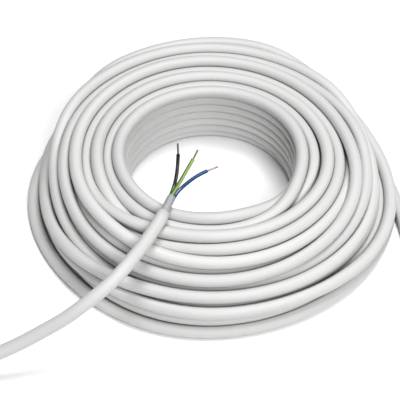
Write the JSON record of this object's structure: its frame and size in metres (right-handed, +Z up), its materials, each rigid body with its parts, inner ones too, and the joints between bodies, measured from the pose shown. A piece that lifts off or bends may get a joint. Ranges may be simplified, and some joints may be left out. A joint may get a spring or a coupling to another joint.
{
  "type": "coil of electrical cable",
  "caption": "Ring-wound coil of round sheathed electrical cable lying flat, with a round bore and a free end stripped to its bare-tipped cores over the bore.",
  "frame": {"origin": "middle of the footprint of the coil and its free end together, on the floor it lies on", "axes": "+Z up, along the coil's bore; +X to the right and +Y away, as the coil is seen with its stripped end nearest"},
  "size_m": [0.3216, 0.3725, 0.0711],
  "materials": {
    "sheath": "extruded PVC, light grey, semi-matt",
    "bedding": "extruded filling compound, chalky light grey",
    "core_black": "extruded PVC insulation, black",
    "core_green_yellow": "extruded PVC insulation, green with yellow stripes",
    "core_blue": "extruded PVC insulation, blue",
    "copper": "drawn solid copper, plain"
  },
  "bodies": {
    "root": {"cable_coil": "sheath", "free_end": "sheath", "bedding": "bedding", "core_black": "core_black", "core_green_yellow": "core_green_yellow", "core_blue": "core_blue", "conductor_black": "copper", "conductor_green_yellow": "copper", "conductor_blue": "copper"}
  },
  "joints": []
}
